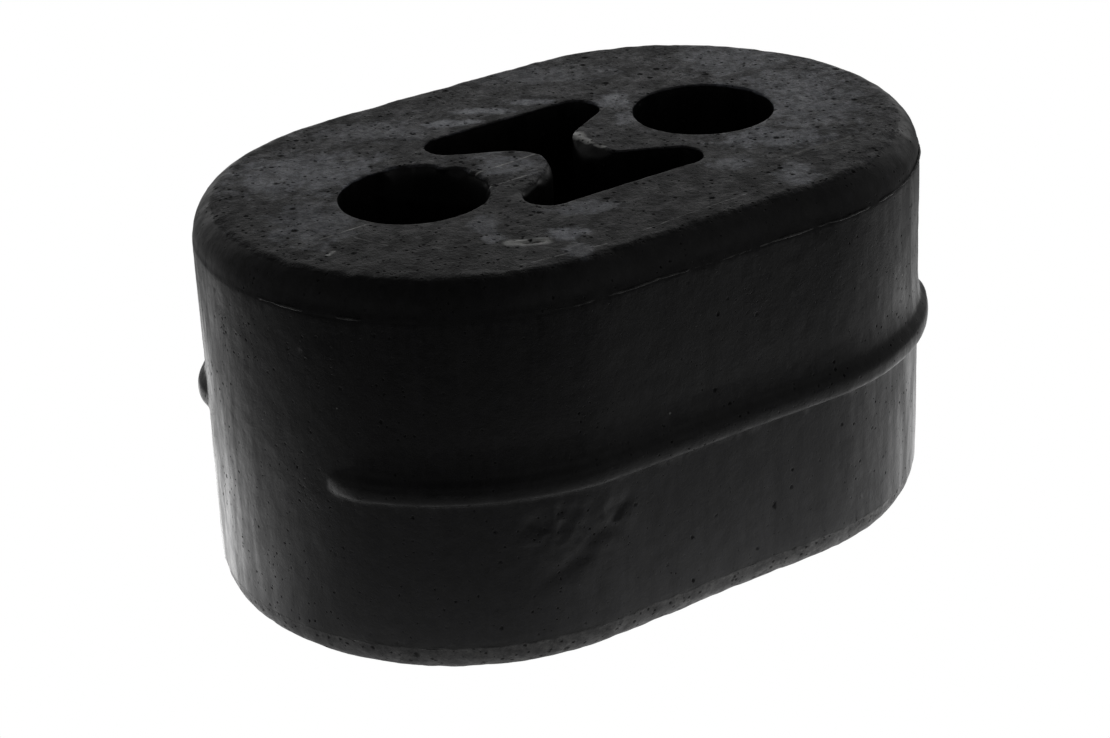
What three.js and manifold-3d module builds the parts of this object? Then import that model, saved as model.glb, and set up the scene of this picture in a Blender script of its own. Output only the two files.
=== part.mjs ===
// A moulded rubber block that hangs an exhaust pipe under a car.
// Two rods pass through the round bores. The bow-tie opening between them leaves two tongues,
// which spring towards each other and stop the pipe's travel when their tips meet.
// Millimetres, +Z up. The block stands on its lower end face, with the origin at the centre of that
// face. +X runs along the line of the two bores.
import * as THREE from "three";
import { mergeVertices } from "three/addons/utils/BufferGeometryUtils.js";
import Module from "manifold-3d";

const wasm = await Module();
wasm.setup();

// Driving dimensions of the block
const BLOCK_LENGTH = 63;
const BLOCK_WIDTH = 41.6;
const BLOCK_HEIGHT = 33;
const EDGE_HEIGHT = 2.8; // height of the rounded band at each end face
const EDGE_INSET = 2.5; // how far that band draws in at the end face
const PARTING_STEP = 0.2; // how far the flanks stand proud of the bands, at the mould's two parting lines

// Driving dimensions of the rod bores
const BORE_DIAMETER = 11.8;
const BORE_SPACING = 29;
const BORE_LIP = 0.3; // rounding at each mouth

// Driving dimensions of the bow-tie opening
const TONGUE_TIP_RADIUS = 3.7;
const NECK_GAP = 3.7; // between the tips of the two tongues
const LOBE_WIDTH = 5.4; // from a tongue's round tip to the lobe's outer edge
const LOBE_SETBACK = 0.2; // how far a lobe's tips stop short of the near edges of the bores
const LOBE_CORNER_RADIUS = 2.1;
const OPENING_LIP = 0.4; // rounding at each mouth

// Driving dimensions of the bead along each flank
const BEAD_PROUD = 0.9;
const BEAD_HEIGHT = 2.7;
const BARE_END_ANGLE = 25; // degrees of each end arc left without a bead, to either side of its middle
const BEAD_RUN_OUT = 4.2; // length over which the bead sinks away at each of its ends

// How finely curves are divided
const END_ARC_SEGMENTS = 36;
const BORE_SEGMENTS = 40;
const CORNER_SEGMENTS = 8;
const TIP_SEGMENTS = 12;
const EDGE_SEGMENTS = 5;
const LIP_SEGMENTS = 2;
const BEAD_SEGMENTS = 14;
const BEAD_STEP = 1.4;

const CUTTER_OVERRUN = 0.1; // how far a cutter passes the face that it opens

const RUBBER = { color: 0x17181a, roughness: 0.62, metalness: 0 };

// Sizes that follow from the driving dimensions
const endRadius = BLOCK_WIDTH / 2;
const endCentre = BLOCK_LENGTH / 2 - endRadius;
const boreRadius = BORE_DIAMETER / 2;
const boreCentre = BORE_SPACING / 2;
const midHeight = BLOCK_HEIGHT / 2;
const cornerRadius = Math.min(LOBE_CORNER_RADIUS, LOBE_WIDTH / 2);

// A manifold-3d solid from a three.js geometry.
function solidFrom(geometry) {
  const bare = geometry.clone();
  bare.deleteAttribute("normal");
  bare.deleteAttribute("uv");
  const merged = mergeVertices(bare, 1e-4);
  return new wasm.Manifold(
    new wasm.Mesh({
      numProp: 3,
      vertProperties: merged.attributes.position.array,
      triVerts: new Uint32Array(merged.index.array),
    }),
  );
}

// A three.js geometry from a manifold-3d solid.
function geometryFrom(solid) {
  const mesh = solid.getMesh();
  const geometry = new THREE.BufferGeometry();
  geometry.setAttribute("position", new THREE.BufferAttribute(mesh.vertProperties, 3));
  geometry.setIndex(new THREE.BufferAttribute(mesh.triVerts, 1));
  const faceted = geometry.toNonIndexed();
  faceted.computeVertexNormals();
  return faceted;
}

// Points of an arc, from one angle to another, both ends included.
function arcPoints(x, y, radius, from, to, segments) {
  return Array.from({ length: segments + 1 }, (_, i) => {
    const angle = from + ((to - from) * i) / segments;
    return new THREE.Vector2(x + radius * Math.cos(angle), y + radius * Math.sin(angle));
  });
}

// The block's outline seen from above: two flat flanks joined by half-round ends.
function blockOutline(radius) {
  const quarter = Math.PI / 2;
  return new THREE.Shape([
    ...arcPoints(endCentre, 0, radius, -quarter, quarter, END_ARC_SEGMENTS),
    ...arcPoints(-endCentre, 0, radius, quarter, 3 * quarter, END_ARC_SEGMENTS),
  ]);
}

function boreOutline(x) {
  return new THREE.Shape(arcPoints(x, 0, boreRadius, 0, 2 * Math.PI, BORE_SEGMENTS).slice(0, -1));
}

// The bow-tie opening. Each quarter is a round lobe corner and half a tongue tip, with the straight
// side of the tongue as the line that touches both circles between them.
function openingOutline() {
  const cornerX = boreCentre - boreRadius - LOBE_SETBACK - cornerRadius;
  const cornerY = TONGUE_TIP_RADIUS + LOBE_WIDTH - cornerRadius;
  const tipX = NECK_GAP / 2 + TONGUE_TIP_RADIUS;
  const towardsCorner = Math.atan2(cornerY, cornerX - tipX);
  const apart = Math.hypot(cornerX - tipX, cornerY);
  const tilt = Math.acos((cornerRadius + TONGUE_TIP_RADIUS) / apart);
  const tipEnd = towardsCorner + tilt;
  const cornerStart = tipEnd - Math.PI;
  const quarter = [
    ...arcPoints(tipX, 0, TONGUE_TIP_RADIUS, Math.PI, tipEnd, TIP_SEGMENTS / 2),
    ...arcPoints(cornerX, cornerY, cornerRadius, cornerStart, Math.PI / 2, CORNER_SEGMENTS),
  ];
  const across = (points, signX, signY) =>
    points.map((p) => new THREE.Vector2(signX * p.x, signY * p.y));
  const reversed = [...quarter].reverse();
  return new THREE.Shape([
    ...quarter,
    ...across(reversed, -1, 1).slice(0, -1),
    ...across(quarter, -1, -1),
    ...across(reversed, 1, -1).slice(0, -1),
  ]);
}

// The block without its openings: a core with a rounded band at each end face, and a sleeve that
// makes the flanks stand a step proud of the bands.
function blankBlock() {
  const bandInset = EDGE_INSET - PARTING_STEP;
  const flankHeight = BLOCK_HEIGHT - 2 * EDGE_HEIGHT;
  const core = new THREE.ExtrudeGeometry(blockOutline(endRadius - PARTING_STEP), {
    depth: flankHeight,
    bevelThickness: EDGE_HEIGHT,
    bevelSize: bandInset,
    bevelOffset: -bandInset,
    bevelSegments: EDGE_SEGMENTS,
  });
  const sleeve = new THREE.ExtrudeGeometry(blockOutline(endRadius), {
    depth: flankHeight,
    bevelEnabled: false,
  });
  core.translate(0, 0, EDGE_HEIGHT);
  sleeve.translate(0, 0, EDGE_HEIGHT);
  return solidFrom(core).add(solidFrom(sleeve));
}

// A cutter for a through opening, flared at both mouths so that it leaves a rounded lip there.
function lippedCutter(outline, lip) {
  const flare = lip + CUTTER_OVERRUN;
  const cutter = new THREE.ExtrudeGeometry(outline, {
    depth: BLOCK_HEIGHT - 2 * lip,
    bevelThickness: flare,
    bevelSize: -lip,
    bevelOffset: lip,
    bevelSegments: LIP_SEGMENTS,
  });
  cutter.translate(0, 0, lip);
  return solidFrom(cutter);
}

// The line that a bead's round section follows: along the flank and round part of both end arcs, a
// little inside the surface, and sinking deeper over the run-out at each of its ends.
class BeadLine extends THREE.Curve {
  constructor(radius, sinkBy) {
    super();
    this.radius = radius;
    this.sinkBy = sinkBy;
    this.arcLength = radius * THREE.MathUtils.degToRad(90 - BARE_END_ANGLE);
    this.length = 2 * (this.arcLength + endCentre);
  }

  getPoint(t, target = new THREE.Vector3()) {
    const along = t * this.length;
    const fromEnd = Math.min(along, this.length - along);
    const runOut = Math.max(0, 1 - fromEnd / BEAD_RUN_OUT);
    const radius = this.radius - this.sinkBy * runOut * runOut;
    const side = along < this.length / 2 ? -1 : 1;
    if (fromEnd > this.arcLength) {
      const x = along - this.length / 2;
      return target.set(x, -radius, midHeight);
    }
    const turned = (this.arcLength - fromEnd) / this.radius;
    return target.set(
      side * (endCentre + radius * Math.sin(turned)),
      -radius * Math.cos(turned),
      midHeight,
    );
  }
}

// The bead of the front flank: a round bar that shows as a low arch where it stands out of the wall.
function bead() {
  const halfHeight = BEAD_HEIGHT / 2;
  const barRadius = (halfHeight * halfHeight + BEAD_PROUD * BEAD_PROUD) / (2 * BEAD_PROUD);
  const line = new BeadLine(endRadius + BEAD_PROUD - barRadius, BEAD_PROUD + 2 * PARTING_STEP);
  const section = new THREE.Shape(
    arcPoints(0, 0, barRadius, 0, 2 * Math.PI, BEAD_SEGMENTS).slice(0, -1),
  );
  return solidFrom(
    new THREE.ExtrudeGeometry(section, {
      steps: Math.round(line.length / BEAD_STEP),
      extrudePath: line,
      bevelEnabled: false,
    }),
  );
}

function hangerRubber() {
  const front = bead();
  const rear = front.rotate([0, 0, 180]);
  const cutters = [
    lippedCutter(boreOutline(-boreCentre), BORE_LIP),
    lippedCutter(boreOutline(boreCentre), BORE_LIP),
    lippedCutter(openingOutline(), OPENING_LIP),
  ];
  const moulded = blankBlock().add(front).add(rear);
  return cutters.reduce((solid, cutter) => solid.subtract(cutter), moulded);
}

const mesh = new THREE.Mesh(
  geometryFrom(hangerRubber()),
  new THREE.MeshStandardMaterial(RUBBER),
);
mesh.name = "hanger_block";

const hanger = new THREE.Group();
hanger.add(mesh);

export default hanger;
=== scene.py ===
"""Dresses the exhaust hanger rubber: a used, black moulded block on a plain pale studio floor.

The block is modelled in millimetres along the axes of the CAD frame, and scaled to metres when it is whole.
"""

from __future__ import annotations

import logging
import math
from collections.abc import Callable, Iterator
from contextlib import contextmanager
from dataclasses import dataclass, field
from enum import Enum
from functools import reduce
from typing import Protocol

import bpy
import numpy as np
from mathutils import Matrix, Vector

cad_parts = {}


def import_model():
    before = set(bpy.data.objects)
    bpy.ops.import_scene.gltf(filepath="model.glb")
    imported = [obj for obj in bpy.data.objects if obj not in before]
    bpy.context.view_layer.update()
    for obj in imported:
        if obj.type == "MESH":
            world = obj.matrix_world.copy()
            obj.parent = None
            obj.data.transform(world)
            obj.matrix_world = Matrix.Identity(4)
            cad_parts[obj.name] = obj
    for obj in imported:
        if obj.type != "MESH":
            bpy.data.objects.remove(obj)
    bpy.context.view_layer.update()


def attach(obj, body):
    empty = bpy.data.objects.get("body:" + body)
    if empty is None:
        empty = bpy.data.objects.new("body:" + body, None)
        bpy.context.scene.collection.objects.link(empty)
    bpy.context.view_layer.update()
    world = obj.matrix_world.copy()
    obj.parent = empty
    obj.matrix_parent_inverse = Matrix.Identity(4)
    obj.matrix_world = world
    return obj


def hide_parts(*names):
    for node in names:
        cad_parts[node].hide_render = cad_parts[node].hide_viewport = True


LOG = logging.getLogger("hanger_rubber")

CAD_NODE = "hanger_block"
BODY = "root"

MM = 0.001  # one millimetre, in metres
VIEW_AZIMUTH = -34.69  # degrees round from the front at which the photograph was taken
PHOTO_WIDTH = 1110  # pixels
SENSOR_WIDTH = 36.0  # millimetres
GRAIN_TURN = math.radians(34.7)  # turns a place to the direction in which the film was wiped
DOUBLES = 0.001  # millimetres under which two vertices are one
OVERRUN = 1.0  # millimetres by which a cutter passes each end face
EDGE_PACE = 0.1  # millimetres between the places that mark an opening's edge
EDGE_STEPS = 40  # places that mark a straight piece of an opening's edge
EDGE_BATCH = 2000  # vertices that are set against an edge at a time
FLASH_OFFSET = 0.07  # millimetres by which a flash line stands off its parting line
SPECULAR = 0.35  # specular level of all the rubber
ORIGIN = (0.0, 0.0, 0.0)

Point = tuple[float, float, float]
Field = Callable[[np.ndarray], np.ndarray]
Edge = tuple[np.ndarray, np.ndarray]
Socket = bpy.types.NodeSocket
Sockets = bpy.types.bpy_prop_collection
Group = bpy.types.NodeTree


class Fit(Enum):
    """How a boolean joins a tool piece to the block."""

    JOIN = "UNION"
    CUT = "DIFFERENCE"


class Side(Enum):
    """The two flanks, by the direction in which each faces."""

    FRONT = -1
    REAR = 1


def pick(piece: bpy.types.Object) -> None:
    """Makes a piece the only selected object, and the active one.

    Args:
        piece: The object to select.
    """
    bpy.ops.object.select_all(action="DESELECT")
    piece.select_set(True)
    bpy.context.view_layer.objects.active = piece


@contextmanager
def editing(piece: bpy.types.Object) -> Iterator[None]:
    """Holds a piece in edit mode, in vertex selection, for the length of a with block.

    Args:
        piece: The object to edit.

    Yields:
        Nothing.
    """
    pick(piece)
    bpy.ops.object.mode_set(mode="EDIT")
    bpy.ops.mesh.select_mode(type="VERT")
    yield
    bpy.ops.object.mode_set(mode="OBJECT")


def extrude_by(step: Point) -> None:
    """Extrudes what is selected in edit mode along a step, and leaves the new end selected."""
    bpy.ops.mesh.extrude_region_move(TRANSFORM_OT_translate={"value": step})


def spin_about(centre: Point, degrees: float, steps: int, axis: Point = (0, 0, 1)) -> None:
    """Spins what is selected in edit mode about an axis, and leaves the new end selected.

    Args:
        centre: A point of the axis.
        degrees: The angle, by the right-hand rule.
        steps: The number of pieces that the turn is divided into.
        axis: The direction of the axis.
    """
    bpy.ops.mesh.spin(steps=steps, angle=-math.radians(degrees), center=centre, axis=axis)


def close_up(piece: bpy.types.Object) -> None:
    """Merges the doubled vertices of a piece and turns its faces outwards.

    Args:
        piece: The object to mend.
    """
    with editing(piece):
        bpy.ops.mesh.select_all(action="SELECT")
        bpy.ops.mesh.remove_doubles(threshold=DOUBLES)
        bpy.ops.mesh.normals_make_consistent(inside=False)


def apply_modifier(piece: bpy.types.Object, name: str, kind: str, **values: object) -> None:
    """Adds a modifier with the given settings to a piece and applies it.

    Args:
        piece: The object to change.
        name: The modifier's name.
        kind: The modifier's type.
        **values: Its settings.
    """
    modifier = piece.modifiers.new(name, kind)
    for key, value in values.items():
        setattr(modifier, key, value)
    pick(piece)
    bpy.ops.object.modifier_apply(modifier=name)


def scale_to_metres(piece: bpy.types.Object) -> None:
    """Scales a piece that was modelled in millimetres, and applies it to the mesh.

    Args:
        piece: The object to scale.
    """
    pick(piece)
    piece.scale = (MM, MM, MM)
    bpy.ops.object.transform_apply(location=True, rotation=True, scale=True)


@dataclass
class Pen:
    """Draws an outline as a chain of edges, by extruding one vertex in edit mode.

    Attributes:
        name: The name of the piece that the outline becomes.
        place: Where the pen stands.
    """

    name: str
    place: Vector = field(default_factory=Vector)

    def set_down(self, place: Point) -> bpy.types.Object:
        """Starts the outline with one vertex, and stays in edit mode.

        Args:
            place: Where the outline starts.

        Returns:
            The new piece.
        """
        bpy.ops.object.select_all(action="DESELECT")
        bpy.ops.mesh.primitive_plane_add(size=1.0, location=(0, 0, 0))
        piece = bpy.context.object
        piece.name = self.name
        piece.data.name = self.name
        bpy.ops.object.mode_set(mode="EDIT")
        bpy.ops.mesh.select_mode(type="VERT")
        bpy.ops.mesh.select_all(action="SELECT")
        bpy.ops.mesh.merge(type="CENTER")
        bpy.ops.transform.translate(value=place)
        self.place = Vector(place)
        return piece

    def line(self, to: Point) -> None:
        """Draws a straight edge.

        Args:
            to: Where it ends.
        """
        target = Vector(to)
        extrude_by(tuple(target - self.place))
        self.place = target

    def arc(self, centre: Point, degrees: float, steps: int, axis: Point = (0, 0, 1)) -> None:
        """Draws an arc about a centre.

        Args:
            centre: The arc's centre.
            degrees: How far it turns, by the right-hand rule about the axis.
            steps: The number of edges.
            axis: The direction of the axis.
        """
        spin_about(centre, degrees, steps, axis)
        middle = Vector(centre)
        turn = Matrix.Rotation(math.radians(degrees), 3, Vector(axis))
        self.place = middle + turn @ (self.place - middle)


@dataclass
class BlockForm:
    """The block's own sizes in millimetres, with its outline rule.

    Attributes:
        length: Along the line of the bores.
        width: Across the flanks.
        height: Along the bores.
        band: Radius of the rounded band at each end face.
        corner: Degrees by which the band is tilted where it meets the face.
        parting: Depth of the parting lines below the end faces.
        step: How far the flanks stand proud of the bands.
        band_steps: Edges in each band's round section.
        end_steps: Pieces that each half-round end is divided into.
    """

    length: float = 63.0
    width: float = 41.6
    height: float = 33.0
    band: float = 2.75
    corner: float = 13.0
    parting: float = 2.75
    step: float = 0.09
    band_steps: int = 10
    end_steps: int = 96

    @property
    def radius(self) -> float:
        """The radius of each half-round end."""
        return self.width / 2

    @property
    def centre(self) -> float:
        """How far the centre of each half-round end lies from the middle."""
        return self.length / 2 - self.radius

    def beyond(self, places: np.ndarray) -> np.ndarray:
        """Measures how far places lie outside the block's outline, seen from above.

        Args:
            places: Rows of x, y, z in millimetres.

        Returns:
            One distance for each row, negative inside the outline.
        """
        along = np.maximum(np.abs(places[:, 0]) - self.centre, 0)
        return np.hypot(along, places[:, 1]) - self.radius

    def build(self) -> bpy.types.Object:
        """Draws half of the upright section and sweeps it once round the outline.

        Returns:
            The closed block, with no openings.
        """
        core = self.radius - self.step
        tilt = math.radians(self.corner)
        hub = core - self.band
        face = hub + self.band * math.sin(tilt)
        rise = self.band * math.cos(tilt)
        pen = Pen("hanger_block_shape")
        x = self.centre
        piece = pen.set_down((x, 0, self.height))
        pen.line((x, -face, self.height))
        pen.arc((x, -hub, self.height - rise), 90 - self.corner, self.band_steps, axis=(1, 0, 0))
        pen.line((x, -core, self.height - self.parting))
        pen.line((x, -self.radius, self.height - self.parting))
        pen.line((x, -self.radius, self.parting))
        pen.line((x, -core, self.parting))
        pen.line((x, -core, rise))
        pen.arc((x, -hub, rise), 90 - self.corner, self.band_steps, axis=(1, 0, 0))
        pen.line((x, 0, 0))
        bpy.ops.mesh.select_all(action="SELECT")
        spin_about((x, 0, 0), 180, self.end_steps)
        extrude_by((-2 * x, 0, 0))
        spin_about((-x, 0, 0), 180, self.end_steps)
        extrude_by((2 * x, 0, 0))
        bpy.ops.object.mode_set(mode="OBJECT")
        close_up(piece)
        return piece


@dataclass
class Bead:
    """The low bead at mid height along one flank: a steep lower edge and a long concave upper slope.

    Attributes:
        block: The block that it stands on.
        side: The flank.
        section: Its outline, each point by its distance out of the wall and its height above the middle.
        root: How deep its inner side lies in the wall.
        bare: Degrees of each end left without a bead, to either side of its middle.
        run_out: Length over which it sinks away at each end.
        steps: Pieces that its course round each end is divided into.
    """

    block: BlockForm
    side: Side
    section: tuple[tuple[float, float], ...] = (
        (0.0, -1.2),
        (0.42, -1.19),
        (0.66, -1.1),
        (0.81, -0.92),
        (0.88, -0.66),
        (0.9, -0.36),
        (0.89, 0.0),
        (0.83, 0.32),
        (0.69, 0.6),
        (0.46, 0.83),
        (0.29, 1.07),
        (0.18, 1.42),
        (0.12, 1.82),
        (0.06, 2.35),
        (0.02, 2.95),
        (-0.03, 3.5),
    )
    root: float = 1.2
    bare: float = 25.0
    run_out: float = 4.2
    steps: int = 48

    @property
    def sink(self) -> float:
        """How deep it is sunk at its ends."""
        return max(out for out, _ in self.section) + 2 * self.block.step

    def build(self) -> bpy.types.Object:
        """Sweeps the section along the flank and round part of both ends.

        Returns:
            The closed bead.
        """
        turn = 90 - self.bare
        pace = math.radians(turn) * self.block.radius / self.steps
        depths = [self._depth(step * pace) for step in range(self.steps + 1)]
        rises = [before - after for before, after in zip(depths, depths[1:])]
        x = self.block.centre
        start = 180 + self.bare
        piece = self._end_section(math.radians(start))
        with editing(piece):
            bpy.ops.mesh.select_all(action="SELECT")
            self._go_round(-x, start, turn, rises)
            extrude_by((2 * x, 0, 0))
            self._go_round(x, 270, turn, [-rise for rise in reversed(rises)])
        close_up(piece)
        if self.side is Side.REAR:
            pick(piece)
            piece.rotation_euler = (0, 0, math.pi)
            bpy.ops.object.transform_apply(location=True, rotation=True, scale=True)
        return piece

    def _go_round(self, x: float, start: float, turn: float, rises: list[float]) -> None:
        """Carries the newest section round one end of the block.

        Args:
            x: Where the centre of the half-round end stands.
            start: The angle at which it starts, in degrees.
            turn: How far it turns, in degrees.
            rises: How far it moves out of the wall at each step.
        """
        for step, rise in enumerate(rises, 1):
            spin_about((x, 0, 0), turn / self.steps, 1)
            angle = math.radians(start) + math.radians(turn) * step / self.steps
            if rise:
                bpy.ops.transform.translate(value=(rise * math.cos(angle), rise * math.sin(angle), 0))

    def _end_section(self, angle: float) -> bpy.types.Object:
        """Draws the section at the bead's end, sunk in the wall, and fills it.

        Args:
            angle: Where the end stands round the half-round end of the block.

        Returns:
            The flat section.
        """
        radius = self.block.radius - self.sink
        middle = self.block.height / 2

        def at(out: float, up: float) -> Point:
            """Gives the place that lies this far out of the wall and above the middle."""
            reach = radius + out
            return (-self.block.centre + reach * math.cos(angle), reach * math.sin(angle), middle + up)

        corners = [(-self.root, self.section[0][1]), *self.section, (-self.root, self.section[-1][1])]
        pen = Pen(f"bead_{self.side.name.lower()}")
        piece = pen.set_down(at(*corners[0]))
        for corner in corners[1:]:
            pen.line(at(*corner))
        bpy.ops.mesh.select_all(action="SELECT")
        bpy.ops.mesh.edge_face_add()
        bpy.ops.object.mode_set(mode="OBJECT")
        return piece

    def _depth(self, distance: float) -> float:
        """How deep the section is sunk at a distance from the bead's end."""
        left = max(0.0, 1 - distance / self.run_out)
        return self.sink * left * left


def arc_of(middle: tuple[float, float], radius: float, start: float, end: float, facing: int) -> Edge:
    """Divides an arc finely.

    Args:
        middle: Its centre.
        radius: Its radius.
        start: The angle of its start.
        end: The angle of its end.
        facing: 1 if the rubber lies outside the arc, -1 if it lies inside.

    Returns:
        The places, and their directions into the rubber.
    """
    angles = np.linspace(start, end, max(3, round(abs(end - start) * radius / EDGE_PACE)))
    out = np.stack([np.cos(angles), np.sin(angles)], axis=1)
    return np.array([middle]) + radius * out, facing * out


def straight_between(one: Edge, other: Edge) -> Edge:
    """Divides the straight line from the end of one piece of an edge to the start of the next.

    Args:
        one: The piece before it.
        other: The piece after it.

    Returns:
        The places, and their directions into the rubber.
    """
    share = np.linspace(0, 1, EDGE_STEPS)[:, None]
    return tuple(a[-1:] * (1 - share) + b[:1] * share for a, b in zip(one, other))


@dataclass
class RodBore:
    """A round bore for a hanger rod, right through the block.

    Attributes:
        block: The block that it passes through.
        x: Where its axis stands.
        diameter: Its diameter.
        steps: Pieces that its wall is divided into.
    """

    block: BlockForm
    x: float
    diameter: float = 11.8
    steps: int = 128

    def edge(self) -> Edge:
        """Gives the mouth's edge as places with their directions into the rubber."""
        return arc_of((self.x, 0.0), self.diameter / 2, 0.0, 2 * math.pi, 1)

    def build(self) -> bpy.types.Object:
        """Lathes the bore's cutter from an upright section.

        Returns:
            The closed cutter.
        """
        wall = self.x + self.diameter / 2
        low, high = -OVERRUN, self.block.height + OVERRUN
        pen = Pen("rod_bore_cutter")
        piece = pen.set_down((self.x, 0, low))
        pen.line((wall, 0, low))
        pen.line((wall, 0, high))
        pen.line((self.x, 0, high))
        bpy.ops.mesh.select_all(action="SELECT")
        spin_about((self.x, 0, 0), 360, self.steps)
        bpy.ops.object.mode_set(mode="OBJECT")
        close_up(piece)
        return piece


@dataclass
class BowTieOpening:
    """The opening between the bores, which leaves two tongues with round tips.

    Attributes:
        block: The block that it passes through.
        tip_radius: Radius of each tongue's tip.
        neck: Gap between the two tips.
        lobe: Width of a lobe between a tongue's tip and the outer edge.
        corner: Radius of a lobe's round ends.
        reach: How far a lobe's ends lie from the middle.
        tip_steps: Edges in half of a tongue's tip.
        corner_steps: Edges in a lobe's round end.
    """

    block: BlockForm
    tip_radius: float = 3.7
    neck: float = 3.7
    lobe: float = 5.4
    corner: float = 2.1
    reach: float = 8.4
    tip_steps: int = 24
    corner_steps: int = 20

    @property
    def tip_centre(self) -> float:
        """How far the centre of each tongue's tip lies from the middle."""
        return self.neck / 2 + self.tip_radius

    def edge(self) -> Edge:
        """Marks the mouth's edge.

        Returns:
            Its places, and their directions into the rubber.
        """
        corner_x, corner_y, tip_end = self._corner()
        tip = arc_of((self.tip_centre, 0.0), self.tip_radius, math.pi, tip_end, -1)
        corner = arc_of((corner_x, corner_y), self.corner, tip_end - math.pi, math.pi / 2, 1)
        side = straight_between(tip, corner)
        crown = np.array([[0.0, corner_y + self.corner]]), np.array([[0.0, 1.0]])
        outer = straight_between(corner, crown)
        quarter = [np.concatenate(rows) for rows in zip(tip, side, corner, outer)]
        mirrored = [np.array([[x, y]]) for x in (1, -1) for y in (1, -1)]
        return tuple(np.concatenate([rows * signs for signs in mirrored]) for rows in quarter)

    def _corner(self) -> tuple[float, float, float]:
        """Places a lobe's round end.

        Returns:
            The x and y of its middle, and the angle at which the tongue's tip ends.
        """
        x = self.reach - self.corner
        y = self.tip_radius + self.lobe - self.corner
        apart = math.hypot(x - self.tip_centre, y)
        towards = math.atan2(y, x - self.tip_centre)
        return x, y, towards + math.acos((self.corner + self.tip_radius) / apart)

    def build(self) -> bpy.types.Object:
        """Draws a quarter of the outline, mirrors it twice and extrudes it.

        Returns:
            The closed cutter.
        """
        corner_x, corner_y, tip_end = self._corner()
        low = -OVERRUN
        pen = Pen("bow_tie_cutter")
        piece = pen.set_down((self.neck / 2, 0, low))
        pen.arc((self.tip_centre, 0, low), math.degrees(tip_end) - 180, self.tip_steps)
        across = self.corner * math.cos(tip_end - math.pi), self.corner * math.sin(tip_end - math.pi)
        pen.line((corner_x + across[0], corner_y + across[1], low))
        pen.arc((corner_x, corner_y, low), 270 - math.degrees(tip_end), self.corner_steps)
        pen.line((0, corner_y + self.corner, low))
        bpy.ops.object.mode_set(mode="OBJECT")
        apply_modifier(
            piece, "both_ways", "MIRROR", use_axis=(True, True, False), merge_threshold=DOUBLES
        )
        with editing(piece):
            bpy.ops.mesh.select_all(action="SELECT")
            bpy.ops.mesh.remove_doubles(threshold=DOUBLES)
            bpy.ops.mesh.edge_face_add()
            extrude_by((0, 0, self.block.height + 2 * OVERRUN))
        close_up(piece)
        return piece


@dataclass(frozen=True)
class Lumps:
    """Smooth random lumps in space, the same ones on every run.

    Attributes:
        seed: Picks the pattern.
        size: Breadth of the largest lumps in millimetres.
        layers: How many times finer and fainter lumps are added.
    """

    seed: int
    size: float
    layers: int = 3

    def at(self, places: np.ndarray) -> np.ndarray:
        """Evaluates the lumps.

        Args:
            places: Rows of x, y, z in millimetres.

        Returns:
            One value for each row, about -1 to 1.
        """
        total = np.zeros(len(places))
        for layer in range(self.layers):
            spots = places * (2**layer / self.size)
            total += self._layer(spots, self.seed + 101 * layer) * 0.5**layer
        return total

    def _layer(self, spots: np.ndarray, seed: int) -> np.ndarray:
        """Blends the random values of the eight cell corners round each spot.

        Args:
            spots: Places, in units of one cell.
            seed: Picks the values.

        Returns:
            One value for each spot.
        """
        cells = np.floor(spots).astype(np.int64)
        part = spots - cells
        ease = part * part * (3 - 2 * part)
        total = np.zeros(len(spots))
        for corner in range(8):
            shift = np.array([corner & 1, corner >> 1 & 1, corner >> 2 & 1])
            share = np.where(shift == 1, ease, 1 - ease).prod(axis=1)
            total += share * self._random(cells + shift, seed)
        return total

    def _random(self, cells: np.ndarray, seed: int) -> np.ndarray:
        """Gives each cell corner a fixed random value, by mixing the bits of its place.

        Args:
            cells: Rows of whole numbers.
            seed: Picks the values.

        Returns:
            One value for each row, from -1 to 1.
        """
        mixed = (cells @ np.array([73856093, 19349663, 83492791]) + seed * 7919) & 0xFFFFFFFF
        mixed = ((mixed ^ (mixed >> 13)) * 1274126177) & 0xFFFFFFFF
        mixed = ((mixed ^ (mixed >> 15)) * 668265263) & 0xFFFFFFFF
        mixed ^= mixed >> 16
        return mixed / 0x7FFFFFFF - 1


def fade(values: np.ndarray, start: float, end: float) -> np.ndarray:
    """Rises smoothly from 0 to 1 between two values, or falls where the end is the lower one.

    Args:
        values: The values to map.
        start: Where it is 0.
        end: Where it is 1.

    Returns:
        One result for each value.
    """
    part = np.clip((values - start) / (end - start), 0, 1)
    return part * part * (3 - 2 * part)


class Wear(Protocol):
    """Something that moves the surface of the finished block."""

    def shift(self, places: np.ndarray, normals: np.ndarray) -> np.ndarray:
        """Works out the wear.

        Args:
            places: The vertices, as rows of x, y, z in millimetres.
            normals: Their normals.

        Returns:
            The movement of each vertex in millimetres.
        """


@dataclass(frozen=True)
class MouldedSkin:
    """The slight unevenness of all moulded surfaces, rougher on the rounded bands.

    Attributes:
        form: The block's own sizes.
        broad: Depth of the broad waves.
        fine: Depth of the fine roughness.
        band: Depth of the roughness of the bands.
    """

    form: BlockForm
    broad: float = 0.07
    fine: float = 0.016
    band: float = 0.05

    def shift(self, places: np.ndarray, normals: np.ndarray) -> np.ndarray:
        """Moves each vertex along its normal.

        Args:
            places: The vertices, as rows of x, y, z in millimetres.
            normals: Their normals.

        Returns:
            The movement of each vertex in millimetres.
        """
        waves = Lumps(11, 9.0, 2).at(places) * self.broad
        grain = Lumps(23, 0.9, 2).at(places) * self.fine
        height = places[:, 2]
        foot = fade(height, self.form.parting + 0.2, self.form.parting - 0.4)
        rim = fade(height, self.form.height - 0.7, self.form.height - 0.05)
        outer = fade(self.form.beyond(places), -3.2, -2.2)
        ragged = Lumps(37, 1.5, 3).at(places) * self.band * np.maximum(foot, rim * outer)
        return normals * (waves + grain + ragged)[:, None]


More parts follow.
